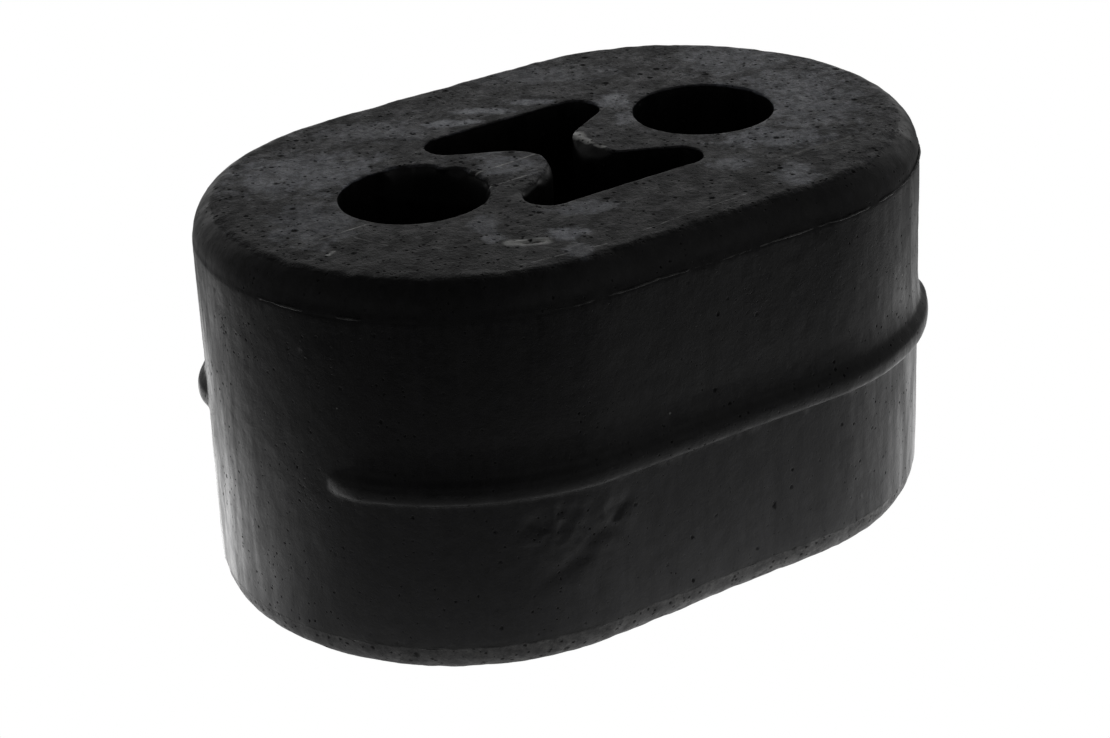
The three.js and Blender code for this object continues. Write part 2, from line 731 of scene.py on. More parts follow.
@dataclass(frozen=True)
class Rub:
    """One rubbed or torn stretch of an edge.

    Attributes:
        place: Its middle.
        reach: How wide it is at its widest.
        spread: How far it runs to either side along the edge.
        tall: How many times deeper than wide it is.
    """

    place: tuple[float, float]
    reach: float
    spread: float
    tall: float = 1.0


@dataclass(frozen=True)
class WornEdge:
    """The upper edge of an opening, rounded off where it is rubbed or torn.

    Attributes:
        form: The block's own sizes.
        edge: The edge's places, with their directions into the rubber.
        rubs: The rubbed stretches.
        ragged: How uneven they are.
        seed: Picks the unevenness.
    """

    form: BlockForm
    edge: Edge
    rubs: tuple[Rub, ...]
    ragged: float
    seed: int

    def shift(self, places: np.ndarray, normals: np.ndarray) -> np.ndarray:
        """Moves the vertices near the edge onto a round curve.

        Args:
            places: The vertices, as rows of x, y, z in millimetres.
            normals: Their normals; not used.

        Returns:
            The movement of each vertex in millimetres.
        """
        moved = np.zeros_like(places)
        most = 1.6 * max(rub.reach * rub.tall for rub in self.rubs)
        low, high = self.edge[0].min(axis=0) - most, self.edge[0].max(axis=0) + most
        down = self.form.height - places[:, 2]
        close = (down < most) & np.all((places[:, :2] > low) & (places[:, :2] < high), axis=1)
        chosen = np.flatnonzero(close)
        for part in np.array_split(chosen, max(1, len(chosen) // EDGE_BATCH)):
            spots = places[part, :2]
            nearest = np.argmin(((spots[:, None] - self.edge[0][None]) ** 2).sum(axis=2), axis=1)
            inward = self.edge[1][nearest]
            depth = ((spots - self.edge[0][nearest]) * inward).sum(axis=1)
            moved[part] = self._rounded(places[part], depth, down[part], inward)
        return moved

    def _rounded(
        self, places: np.ndarray, depth: np.ndarray, down: np.ndarray, inward: np.ndarray
    ) -> np.ndarray:
        """Works out the movement of vertices near the edge.

        Args:
            places: The vertices.
            depth: How deep each lies in the rubber behind the edge.
            down: How far each lies below the face.
            inward: The direction into the rubber at each.

        Returns:
            Their movement.
        """
        reach = np.full(len(places), 1e-6)
        tall = np.ones(len(places))
        for rub in self.rubs:
            off = np.hypot(*(places[:, :2] - np.array(rub.place)).T)
            here = rub.reach * fade(off, rub.spread, 0.3 * rub.spread)
            tall = np.where(here > reach, rub.tall, tall)
            reach = np.maximum(reach, here)
        upright = places * np.array([1, 1, 0.3])
        reach = reach * (1 + self.ragged * Lumps(self.seed, 1.3, 3).at(upright))
        lower = down / tall
        near = (depth < reach) & (depth > -0.4) & (lower < reach) & (lower > -0.3)
        over, under = reach - depth, reach - lower
        length = np.hypot(over, under)
        excess = np.where(near & (length > reach), 1 - reach / np.maximum(length, 1e-6), 0)
        return np.column_stack([inward * (over * excess)[:, None], -under * tall * excess])


@dataclass(frozen=True)
class SlitDent:
    """A shallow dent in the upper face with a short dark slit in its middle.

    Attributes:
        form: The block's own sizes.
        place: Its x and y.
        turn: Degrees by which its long side is turned.
        size: Half its length and half its width.
        depth: Depth of the dent.
        slit: Half the length, half the width and the depth of the slit.
    """

    form: BlockForm
    place: tuple[float, float] = (-12.8, -13.75)
    turn: float = -32.0
    size: tuple[float, float] = (1.9, 1.0)
    depth: float = 0.1
    slit: tuple[float, float, float] = (0.7, 0.15, 0.5)

    def shift(self, places: np.ndarray, normals: np.ndarray) -> np.ndarray:
        """Moves the vertices of the upper face downwards.

        Args:
            places: The vertices, as rows of x, y, z in millimetres.
            normals: Their normals; not used.

        Returns:
            The movement of each vertex in millimetres.
        """
        turn = math.radians(self.turn)
        apart = places[:, :2] - np.array(self.place)
        along = apart @ np.array([math.cos(turn), math.sin(turn)])
        across = apart @ np.array([-math.sin(turn), math.cos(turn)])
        bend = across - 0.12 * np.sin(along * 2.2)
        bowl = np.exp(-((along / self.size[0]) ** 2) - (across / self.size[1]) ** 2)
        cut = fade(np.hypot(along / self.slit[0], bend / self.slit[1]), 1.15, 0.5)
        lip = np.exp(-((along / 1.2) ** 2) - ((bend - 0.34) / 0.2) ** 2)
        upper = fade(self.form.height - places[:, 2], 1.0, 0.5)
        fall = (self.depth * bowl + self.slit[2] * cut - 0.12 * lip) * upper
        return np.stack([0 * fall, 0 * fall, -fall], axis=1)


@dataclass(frozen=True)
class FlankScar:
    """An uneven wrinkled patch in the front flank, closed below by a slanting ridge.

    Attributes:
        form: The block's own sizes.
        relief: Height of the wrinkles.
        ridge: Height of the slanting ridge.
    """

    form: BlockForm
    relief: float = 0.09
    ridge: float = 0.1

    def shift(self, places: np.ndarray, normals: np.ndarray) -> np.ndarray:
        """Moves the vertices of the front flank along their normals.

        Args:
            places: The vertices, as rows of x, y, z in millimetres.
            normals: Their normals.

        Returns:
            The movement of each vertex in millimetres.
        """
        along, height = self._unrolled(places)
        spot = np.stack([along, 0 * along, height], axis=1)
        patch = fade(np.hypot((along + 15.2) / 7.2, (height - 11.0) / 4.9), 1.0, 0.45)
        wrinkles = 1 - 2 * np.abs(Lumps(71, 2.6, 4).at(spot))
        upper = fade(height, 8.5, 12.0) * fade(along, -20.0, -16.5)
        shallow = 0.3 + 0.7 * upper
        swing = 0.45 * Lumps(83, 3.4, 3).at(spot) + 0.2 * Lumps(89, 1.3, 3).at(spot)
        from_top = along + 9.6
        slant = height - 12.3 - 0.82 * from_top - 0.027 * from_top**2 + swing
        line_end = fade(along, -18.6, -14.0) * fade(along, -8.5, -10.0)
        groove = np.exp(-(((slant - 0.4) / 0.9) ** 2))
        crest = np.exp(-(((slant + 1.1) / 0.95) ** 2))
        lift = patch * (self.relief * wrinkles * shallow - 0.04)
        lift += line_end * self.ridge * (0.6 * crest - groove)
        front = (places[:, 1] < 0) & (self.form.beyond(places) > -1.0)
        return normals * (lift * front)[:, None]

    def _unrolled(self, places: np.ndarray) -> tuple[np.ndarray, np.ndarray]:
        """Unrolls the front flank and the left end to a flat strip.

        Args:
            places: Rows of x, y, z in millimetres.

        Returns:
            The place of each row along the strip, and its height.
        """
        over = np.maximum(-self.form.centre - places[:, 0], 0)
        angle = np.arctan2(over, np.maximum(-places[:, 1], 1e-6))
        along = np.where(over > 0, -self.form.centre - self.form.radius * angle, places[:, 0])
        return along, places[:, 2]


RUBBED_TIPS = (
    Rub((2.0, -0.4), 1.25, 3.2),
    Rub((-3.0, -3.0), 1.05, 4.2),
    Rub((-6.6, -4.6), 0.7, 2.4),
)
TORN_RIM = (
    Rub((-12.2, 5.5), 0.75, 1.7, 2.6),
    Rub((-10.6, 4.5), 0.8, 1.5, 2.6),
    Rub((-8.7, 1.9), 0.9, 1.5, 2.6),
    Rub((-8.6, -0.6), 0.7, 3.2, 2.6),
    Rub((-10.4, -4.2), 0.35, 3.0, 2.6),
)


@dataclass
class HangerBlock:
    """The whole moulded block with its wear, as one fine mesh.

    Attributes:
        form: The block's own sizes.
        spacing: Distance between the axes of the bores.
        voxel: Edge of the voxels that its surface is remade from.
        triangles: The most triangles that it keeps.
    """

    form: BlockForm = field(default_factory=BlockForm)
    spacing: float = 29.0
    voxel: float = 0.16
    triangles: int = 190_000

    def build(self) -> bpy.types.Object:
        """Joins and cuts the block, remakes its surface and wears it.

        Returns:
            The finished block, in metres.
        """
        piece = self.form.build()
        for side in Side:
            self._combine(piece, Bead(self.form, side).build(), Fit.JOIN)
        left, right = (RodBore(self.form, x) for x in (-self.spacing / 2, self.spacing / 2))
        opening = BowTieOpening(self.form)
        for hole in (left, right, opening):
            self._combine(piece, hole.build(), Fit.CUT)
        voxel = self.voxel
        apply_modifier(
            piece, "skin", "REMESH", mode="VOXEL", voxel_size=voxel, use_smooth_shade=True
        )
        apply_modifier(piece, "soften", "SMOOTH", factor=0.5, iterations=2)
        self._wear(
            piece,
            WornEdge(self.form, opening.edge(), RUBBED_TIPS, 0.14, 53),
            WornEdge(self.form, left.edge(), TORN_RIM, 0.4, 59),
            SlitDent(self.form),
            FlankScar(self.form),
            MouldedSkin(self.form),
        )
        self._thin(piece)
        scale_to_metres(piece)
        return piece

    @staticmethod
    def _combine(piece: bpy.types.Object, tool: bpy.types.Object, fit: Fit) -> None:
        """Joins a tool piece to the block or cuts it away, and removes the tool."""
        apply_modifier(piece, tool.name, "BOOLEAN", object=tool, operation=fit.value, solver="EXACT")
        bpy.data.objects.remove(tool)

    @staticmethod
    def _wear(piece: bpy.types.Object, *marks: Wear) -> None:
        """Moves the surface by each mark of wear in turn.

        Args:
            piece: The block.
            *marks: The marks of wear.
        """
        mesh = piece.data
        count = 3 * len(mesh.vertices)
        for mark in marks:
            places, normals = np.empty(count, np.float32), np.empty(count, np.float32)
            mesh.vertices.foreach_get("co", places)
            mesh.vertex_normals.foreach_get("vector", normals)
            spots = places.reshape(-1, 3).astype(float)
            moved = spots + mark.shift(spots, normals.reshape(-1, 3).astype(float))
            mesh.vertices.foreach_set("co", moved.astype(np.float32).ravel())
            mesh.update()

    def _thin(self, piece: bpy.types.Object) -> None:
        """Thins the mesh until it holds no more triangles than it may.

        Args:
            piece: The block.
        """
        piece.data.calc_loop_triangles()
        count = len(piece.data.loop_triangles)
        if count > self.triangles:
            apply_modifier(piece, "thin", "DECIMATE", ratio=self.triangles / count)


@dataclass
class FlashLine:
    """The thin ragged line of flash that the mould left along a parting line.

    Attributes:
        form: The block's own sizes.
        name: The piece's name.
        height: Where it runs.
        seed: Picks its unevenness.
        shown: Says how far it stands out at places round the block, from 0 to 1.
        thickness: Radius of the thread before it is made uneven.
        sides: Edges in the thread's section.
        end_steps: Pieces that its course round each end is divided into.
        flank_steps: Pieces that its course along each flank is divided into.
    """

    form: BlockForm
    name: str
    height: float
    seed: int
    shown: Field
    thickness: float = 0.075
    sides: int = 6
    end_steps: int = 420
    flank_steps: int = 140

    def build(self) -> bpy.types.Object:
        """Sweeps a thread once round the block and makes it uneven.

        Returns:
            The finished line, in metres.
        """
        x, radius = self.form.centre, self.form.radius - 0.03
        bpy.ops.object.select_all(action="DESELECT")
        bpy.ops.mesh.primitive_circle_add(
            vertices=self.sides,
            radius=self.thickness,
            location=(x, -radius, self.height),
            rotation=(0, math.pi / 2, 0),
        )
        piece = bpy.context.object
        piece.name = self.name
        bpy.ops.object.transform_apply(location=True, rotation=True, scale=True)
        with editing(piece):
            bpy.ops.mesh.select_all(action="SELECT")
            for end in (x, -x):
                spin_about((end, 0, 0), 180, self.end_steps)
                self._run(-2 * end)
        close_up(piece)
        self._roughen(piece)
        bpy.ops.object.shade_smooth()
        scale_to_metres(piece)
        return piece

    def _run(self, distance: float) -> None:
        """Carries the thread straight along a flank."""
        for _ in range(self.flank_steps):
            extrude_by((distance / self.flank_steps, 0, 0))

    def _roughen(self, piece: bpy.types.Object) -> None:
        """Swells the thread where flash shows, and sinks it into the wall where none does.

        Args:
            piece: The thread.
        """
        mesh = piece.data
        places, normals = np.empty(3 * len(mesh.vertices)), np.empty(3 * len(mesh.vertices))
        mesh.vertices.foreach_get("co", places)
        mesh.vertex_normals.foreach_get("vector", normals)
        spots, faces = places.reshape(-1, 3), normals.reshape(-1, 3)
        middle = spots.copy()
        middle[:, 2] = self.height
        uneven = 0.5 + 0.5 * Lumps(self.seed, 1.3, 4).at(middle)
        proud = np.clip(self.shown(middle) * (0.6 + 0.7 * uneven), 0, 1.3)
        away = np.maximum(np.abs(spots[:, 0]) - self.form.centre, 0) * np.sign(spots[:, 0])
        outwards = np.stack([away, spots[:, 1], 0 * away], axis=1)
        outwards /= np.linalg.norm(outwards, axis=1)[:, None]
        swing = 0.09 * Lumps(self.seed + 5, 3.1, 3).at(middle)
        spots += outwards * (np.minimum(proud, 1.05) * 0.26 - 0.27)[:, None]
        spots += faces * (0.03 * uneven * proud)[:, None]
        spots[:, 2] += swing
        mesh.vertices.foreach_set("co", spots.ravel())
        mesh.update()


@dataclass
class PhotoCamera:
    """A camera that sees the block as the photograph does.

    Attributes:
        azimuth: Degrees round from the front.
        elevation: Degrees above the floor.
        roll: Degrees that the picture is turned.
        distance: From the frame's origin, along the line of sight, in millimetres.
        across: How far it stands to the right of that line, in millimetres.
        above: How far it stands above that line, in millimetres.
        focal: Focal length in pixels of the photograph.
    """

    azimuth: float = VIEW_AZIMUTH
    elevation: float = 25.47
    roll: float = -2.38
    distance: float = 249.9
    across: float = -1.85
    above: float = 12.08
    focal: float = 2913.6

    def build(self) -> bpy.types.Object:
        """Adds the camera and makes it the scene's own.

        Returns:
            The camera.
        """
        turn, rise, roll = (math.radians(a) for a in (self.azimuth, self.elevation, self.roll))
        back = Vector(
            (math.sin(turn) * math.cos(rise), -math.cos(turn) * math.cos(rise), math.sin(rise))
        )
        level = Vector((math.cos(turn), math.sin(turn), 0))
        upright = back.cross(level)
        right = level * math.cos(roll) + upright * math.sin(roll)
        up = upright * math.cos(roll) - level * math.sin(roll)
        place = (back * self.distance + right * self.across + up * self.above) * MM
        data = bpy.data.cameras.new("photo_camera")
        data.sensor_width = SENSOR_WIDTH
        data.lens = self.focal / PHOTO_WIDTH * SENSOR_WIDTH
        data.clip_start = 0.01
        camera = bpy.data.objects.new("photo_camera", data)
        camera.matrix_world = Matrix.Translation(place) @ Matrix(
            [[right[i], up[i], back[i]] for i in range(3)]
        ).to_4x4()
        bpy.context.scene.collection.objects.link(camera)
        bpy.context.scene.camera = camera
        return camera


@dataclass
class NodeSheet:
    """Adds shader nodes to a tree and links them in one call each.

    Attributes:
        tree: The node tree.
    """

    tree: Group

    def add(
        self, kind: str, sockets: dict[str | int, object] | None = None, **values: object
    ) -> bpy.types.Node:
        """Adds a node.

        Args:
            kind: The node's type.
            sockets: What each input gets: a socket to link, or a value.
            **values: The node's own settings.

        Returns:
            The new node.
        """
        node = self.tree.nodes.new(kind)
        for key, value in values.items():
            setattr(node, key, value)
        for key, value in (sockets or {}).items():
            if isinstance(value, Socket):
                self.tree.links.new(value, node.inputs[key])
            else:
                node.inputs[key].default_value = value
        return node

    def use(self, group: Group, **sockets: object) -> Sockets:
        """Adds a node group.

        Args:
            group: The group.
            **sockets: What each of its inputs gets.

        Returns:
            Its outputs.
        """
        return self.add("ShaderNodeGroup", sockets, node_tree=group).outputs

    def math(self, operation: str, *terms: object, clamp: bool = False) -> Socket:
        """Adds a Math node.

        Args:
            operation: What it does.
            *terms: Its inputs, each a socket or a number.
            clamp: Whether the result is held between 0 and 1.

        Returns:
            The result's socket.
        """
        node = self.add("ShaderNodeMath", dict(enumerate(terms)), operation=operation, use_clamp=clamp)
        return node.outputs[0]

    def product(self, *terms: object) -> Socket:
        """Multiplies sockets and numbers, from left to right."""
        return reduce(lambda one, other: self.math("MULTIPLY", one, other), terms)

    def most(self, *terms: object) -> Socket:
        """Gives the largest of some sockets and numbers."""
        return reduce(lambda one, other: self.math("MAXIMUM", one, other), terms)

    def scaled(self, value: object, factor: object, plus: object, clamp: bool = False) -> Socket:
        """Multiplies a value by a factor, adds another value, and may hold the result between 0 and 1."""
        return self.math("MULTIPLY_ADD", value, factor, plus, clamp=clamp)

    def rest(self, share: Socket) -> Socket:
        """Gives what a share leaves of 1."""
        return self.math("SUBTRACT", 1.0, share)

    def vector(self, operation: str, *terms: object) -> Socket:
        """Adds a Vector Math node and gives its vector."""
        return self.add("ShaderNodeVectorMath", dict(enumerate(terms)), operation=operation).outputs[0]

    def stretch(self, vector: Socket, factor: object) -> Socket:
        """Multiplies a vector by a number."""
        node = self.add("ShaderNodeVectorMath", {0: vector, "Scale": factor}, operation="SCALE")
        return node.outputs[0]

    def length(self, vector: Socket) -> Socket:
        """Adds the length of a vector and gives its value."""
        return self.add("ShaderNodeVectorMath", {0: vector}, operation="LENGTH").outputs["Value"]

    def dot(self, one: Socket, other: Socket) -> Socket:
        """Adds a dot product and gives its value."""
        node = self.add("ShaderNodeVectorMath", {0: one, 1: other}, operation="DOT_PRODUCT")
        return node.outputs["Value"]

    def parts(self, vector: Socket) -> Sockets:
        """Gives a vector's X, Y and Z."""
        return self.add("ShaderNodeSeparateXYZ", {0: vector}).outputs

    def place(self) -> Socket:
        """Gives the place on the object, in millimetres."""
        return self.stretch(self.add("ShaderNodeTexCoord").outputs["Object"], 1 / MM)

    def from_line(self, place: Socket, reach: float) -> Socket:
        """Measures how far a place lies from a line along x through the origin, seen from above.

        Args:
            place: The place.
            reach: Half the line's length.

        Returns:
            The distance.
        """
        axis = self.parts(place)
        along = self.most(self.math("SUBTRACT", self.math("ABSOLUTE", axis["X"]), reach), 0.0)
        return self.length(self.add("ShaderNodeCombineXYZ", {0: along, 1: axis["Y"]}).outputs[0])

    def noise(self, place: Socket, scale: float, detail: float, roughness: float) -> Socket:
        """Adds a noise texture and gives its value, from 0 to 1."""
        sockets = {"Vector": place, "Scale": scale, "Detail": detail, "Roughness": roughness}
        return self.add("ShaderNodeTexNoise", sockets).outputs[0]

    def wander(self, place: Socket, scale: float, reach: float) -> Socket:
        """Moves a place by a small random offset that changes from place to place.

        Args:
            place: The place.
            scale: How fast the offset changes.
            reach: How large it gets.

        Returns:
            The moved place.
        """
        node = self.add("ShaderNodeTexNoise", {"Vector": place, "Scale": scale, "Detail": 1.0})
        centred = self.vector("SUBTRACT", node.outputs["Color"], (0.5, 0.5, 0.5))
        return self.vector("ADD", place, self.stretch(centred, reach))

    def blend(self, share: Socket, one: object, other: object) -> Socket:
        """Blends two colours.

        Args:
            share: How much of the second there is.
            one: The first, a socket or three numbers.
            other: The second.

        Returns:
            The blended colour.
        """
        colours = {6 + i: c if isinstance(c, Socket) else (*c, 1) for i, c in enumerate((one, other))}
        node = self.tree.nodes.new("ShaderNodeMix")
        node.data_type = "RGBA"
        self.tree.links.new(share, node.inputs["Factor"])
        for key, colour in colours.items():
            if isinstance(colour, Socket):
                self.tree.links.new(colour, node.inputs[key])
            else:
                node.inputs[key].default_value = colour
        return node.outputs[2]

    def ramp(
        self, value: object, low: object, high: float, to_low: float = 0.0, to_high: float = 1.0
    ) -> Socket:
        """Maps a value smoothly from one range to another, and holds it there.

        Args:
            value: The socket to map.
            low: Where the range starts.
            high: Where the range ends.
            to_low: The result at its start.
            to_high: The result at its end.

        Returns:
            The result's socket.
        """
        sockets = {0: value, 1: low, 2: high, 3: to_low, 4: to_high}
        return self.add("ShaderNodeMapRange", sockets, interpolation_type="SMOOTHSTEP").outputs[0]


def start_material(name: str) -> tuple[bpy.types.Material, NodeSheet, Sockets]:
    """Starts a material.

    Args:
        name: Its name.

    Returns:
        The material, the sheet to fill in and the inputs of its shader.
    """
    material = bpy.data.materials.new(name)
    material.use_nodes = True
    return material, NodeSheet(material.node_tree), material.node_tree.nodes["Principled BSDF"].inputs


@dataclass(frozen=True)
class Patch:
    """An oval place with an uneven edge on the block's surface, in millimetres.

    Attributes:
        centre: Its middle.
        size: Its half lengths along x, y and z, once turned to the film's direction.
        strength: How strong it is in its middle.
    """

    centre: Point
    size: Point
    strength: float = 1.0

    def sockets(self) -> dict[str, object]:
        """Gives what its node group's inputs get."""
        centre = Matrix.Rotation(GRAIN_TURN, 3, "Z") @ Vector(self.centre)
        return {"Centre": centre, "Size": self.size, "Strength": self.strength}


@dataclass(frozen=True)
class Scratch:
    """A straight fine scratch, in millimetres.

    Attributes:
        start: One end.
        end: The other end.
        width: Its width.
        strength: How bright it is.
    """

    start: Point
    end: Point
    width: float = 0.12
    strength: float = 1.0

    def sockets(self) -> dict[str, object]:
        """Gives what its node group's inputs get."""
        return {"Start": self.start, "End": self.end, "Width": self.width, "Strength": self.strength}


BLOOM = (
    Patch((-3.7, 11.4, 33), (3.2, 0.9, 2), 1.0),
    Patch((0.4, 11.7, 33), (2.8, 0.8, 2), 1.0),
    Patch((4.6, 10.9, 33), (2.2, 0.8, 2), 0.85),
    Patch((9.8, 6.4, 33), (1.5, 2.2, 2), 0.85),
    Patch((8.4, 2.6, 33), (1.3, 1.6, 2), 0.55),
    Patch((-13.9, -8.8, 33), (1.2, 2.2, 2), 0.45),
    Patch((-14.8, -11.2, 33), (1.1, 1.0, 2), 0.5),
    Patch((-11.3, -17.4, 33), (1.2, 1.6, 2), 0.35),
    Patch((-10.0, -14.3, 33), (1.9, 1.3, 2), 0.75),
    Patch((-5.9, -11.0, 33), (3.0, 1.5, 2), 0.5),
    Patch((8.5, -11.0, 33), (2.0, 1.6, 2), 0.6),
    Patch((10.8, -16.2, 33), (1.9, 2.6, 2), 0.6),
    Patch((14.5, -9.0, 33), (5.0, 2.6, 2), 0.7),
    Patch((22.0, -3.0, 33), (6.0, 9.0, 2), 0.55),
    Patch((24.0, 8.0, 33), (5.0, 5.0, 2), 0.5),
    Patch((-18.5, 9.5, 33), (7.0, 5.0, 2), 0.62),
    Patch((-9.0, 13.5, 33), (6.0, 2.6, 2), 0.4),
    Patch((9.0, 15.5, 33), (7.0, 2.4, 2), 0.35),
    Patch((-23.5, 0.5, 33), (3.5, 5.0, 2), 0.4),
    Patch((-5.2, 0.4, 33), (3.0, 2.6, 2), 0.55),
)

# Painted highlight on the whitish rim of the right tongue's tip, where it is also rubbed.
RUBBED_TIP_HIGHLIGHT = (Patch((2.3, 0.2, 32.3), (0.9, 2.4, 0.8), 0.1),)

# Painted shade on the inside of the left bore under its torn rim, where the rubber is also made rougher.
TORN_RIM_SHADE = (Patch((-10.9, 2.4, 31.3), (4.5, 7.0, 1.35), 1.0),)

# Bared rubber: on the top of the right tongue's tip, partly a painted highlight; by the slit dent, a pale
# scuffed place.
BARED_AND_TIP_HIGHLIGHT = (
    Scratch((3.2, 2.4, 33), (2.95, 1.7, 32.9), 0.75, 1.0),
    Scratch((2.95, 1.7, 32.95), (2.85, 0.3, 32.85), 0.5, 1.0),
    Scratch((2.9, 0.2, 32.9), (3.05, -1.5, 32.9), 0.28, 0.85),
    Scratch((-14.1, -12.9, 32.9), (-12.0, -14.2, 32.9), 0.9, 0.85),
)

# The slit in the dent, darkened in colour as painted shade.
SLIT = (Scratch((-13.5, -13.35, 32.58), (-12.2, -14.15, 32.58), 0.42, 1.0),)

SCRATCHES = (
    Scratch((-8.3, 0.35, 33), (-1.6, 0.9, 33), 0.17, 0.9),
    Scratch((-9.0, -2.7, 33), (-2.9, -2.4, 33), 0.16, 0.8),
    Scratch((-24.8, -2.9, 33), (-20.6, -2.7, 33), 0.14, 0.7),
    Scratch((-25.9, -5.9, 33), (-25.3, -5.6, 33), 0.3, 1.0),
    Scratch((-22.6, -4.4, 33), (-21.6, -7.4, 33), 0.12, 0.4),
    Scratch((-18.2, 12.3, 33), (-13.4, 9.1, 33), 0.13, 0.5),
    Scratch((-5.2, -17.5, 33), (5.4, -16.9, 33), 0.12, 0.35),
    Scratch((-16.0, -16.9, 33), (-8.8, -17.8, 33), 0.14, 0.45),
    Scratch((12.0, -12.8, 33), (19.5, -13.0, 33), 0.35, 0.35),
)


@dataclass
class SurfaceEffects:
    """The shared node groups that every finish draws on, each made once."""

    @staticmethod
    def group(name: str, takes: dict[str, object], gives: tuple[str, ...]) -> tuple[NodeSheet, Sockets]:
        """Starts a node group.

        Args:
            name: The group's name.
            takes: Its inputs, each with its first value.
            gives: Its outputs.

        Returns:
            The sheet to fill in, and the sockets that give the inputs.
        """
        tree = bpy.data.node_groups.new(name, "ShaderNodeTree")
        for title, value in takes.items():
            kind = "NodeSocketVector" if isinstance(value, tuple) else "NodeSocketFloat"
            tree.interface.new_socket(title, in_out="INPUT", socket_type=kind).default_value = value
        for title in gives:
            tree.interface.new_socket(title, in_out="OUTPUT", socket_type="NodeSocketFloat")
        sheet = NodeSheet(tree)
        return sheet, sheet.add("NodeGroupInput").outputs

    @staticmethod
    def finish(sheet: NodeSheet, **results: Socket) -> Group:
        """Links a group's results to its outputs.

        Args:
            sheet: The filled sheet.
            **results: What each output gives.

        Returns:
            The group.
        """
        sheet.add("NodeGroupOutput", results)
        return sheet.tree

    def patch(self) -> Group:
        """Makes the group that masks one oval patch with a ragged edge.

        Returns:
            The group.
        """
        takes = {"Place": ORIGIN, "Centre": ORIGIN, "Size": (1.0, 1.0, 1.0), "Strength": 1.0, "Ragged": 0.0}
        sheet, given = self.group("ragged_patch", takes, ("Mask",))
        apart = sheet.vector("SUBTRACT", given["Place"], given["Centre"])
        far = sheet.length(sheet.vector("DIVIDE", apart, given["Size"]))
        edge = sheet.math("ADD", given["Ragged"], far)
        return self.finish(sheet, Mask=sheet.product(sheet.ramp(edge, 1.2, 0.4), given["Strength"]))

    def scratch(self) -> Group:
        """Makes the group that masks one straight scratch.

        Returns:
            The group.
        """
        takes = {"Place": ORIGIN, "Start": ORIGIN, "End": (1.0, 0.0, 0.0), "Width": 0.1, "Strength": 1.0}
        sheet, given = self.group("fine_scratch", takes, ("Mask",))
        course = sheet.vector("SUBTRACT", given["End"], given["Start"])
        apart = sheet.vector("SUBTRACT", given["Place"], given["Start"])
        share = sheet.math("DIVIDE", sheet.dot(apart, course), sheet.dot(course, course), clamp=True)
        off = sheet.length(sheet.vector("SUBTRACT", apart, sheet.stretch(course, share)))
        thin = sheet.ramp(sheet.math("DIVIDE", off, given["Width"]), 1.0, 0.2)
        return self.finish(sheet, Mask=sheet.product(thin, given["Strength"]))

    def pits(self) -> Group:
        """Makes the group that scatters small round pits of uneven size.

        Returns:
            The group.
        """
        takes = {"Place": ORIGIN, "Spacing": 1.0, "Size": 0.2, "Share": 0.5}
        sheet, given = self.group("scattered_pits", takes, ("Mask",))
        scale = sheet.math("DIVIDE", 1.0, given["Spacing"])
        sockets = {"Vector": given["Place"], "Scale": scale, "Randomness": 1.0}
        cells = sheet.add("ShaderNodeTexVoronoi", sockets).outputs
        chance = sheet.add("ShaderNodeSeparateColor", {0: cells["Color"]}).outputs
        there = sheet.math("LESS_THAN", chance["Red"], given["Share"])
        breadth = sheet.product(given["Size"], sheet.scaled(chance["Green"], 1.3, 0.35))
        away = sheet.math("DIVIDE", sheet.product(cells["Distance"], given["Spacing"]), breadth)
        return self.finish(sheet, Mask=sheet.product(sheet.ramp(away, 1.0, 0.35), there))

    def zones(self, form: BlockForm) -> Group:
        """Makes the group that tells the block's surfaces apart by their place.

        Args:
            form: The block's own sizes.

        Returns:
            The group. Its outputs mask the upper face, the upper band, the foot, the lower half of
            the walls, the inside of the openings and a painted shadow line along the lower parting line.
        """
        gives = ("Face", "Band", "Foot", "Low", "Inner", "Seam")
        sheet, given = self.group("block_zones", {"Place": ORIGIN}, gives)
        place = given["Place"]
        z = sheet.parts(place)["Z"]
        ragged = sheet.scaled(sheet.noise(place, 0.9, 4, 0.6), 0.5, -0.25)
        height = sheet.math("ADD", z, ragged)
        face = sheet.ramp(sheet.scaled(ragged, 0.5, z), form.height - 0.26, form.height - 0.1)
        out = sheet.from_line(place, form.centre)
        within = sheet.ramp(out, form.radius - 3.4, form.radius - 4.2)
        parting = form.height - form.parting
        above = sheet.ramp(sheet.scaled(ragged, 0.25, z), parting - 0.12, parting + 0.04)
        from_seam = sheet.math("ABSOLUTE", sheet.math("SUBTRACT", height, form.parting + 0.05))
        return self.finish(
            sheet,
            Face=face,
            Band=sheet.product(above, sheet.rest(face)),
            Foot=sheet.ramp(height, form.parting + 0.12, form.parting - 0.12),
            Low=sheet.ramp(z, form.height / 2 - 1.2, form.height / 2 - 2.2),
            Inner=sheet.product(within, sheet.rest(face)),
            # A ragged painted shadow along the lower parting line, under the flank's lower edge.
            Seam=sheet.product(sheet.ramp(from_seam, 0.32, 0.1), sheet.ramp(ragged, -0.16, 0.04)),
        )


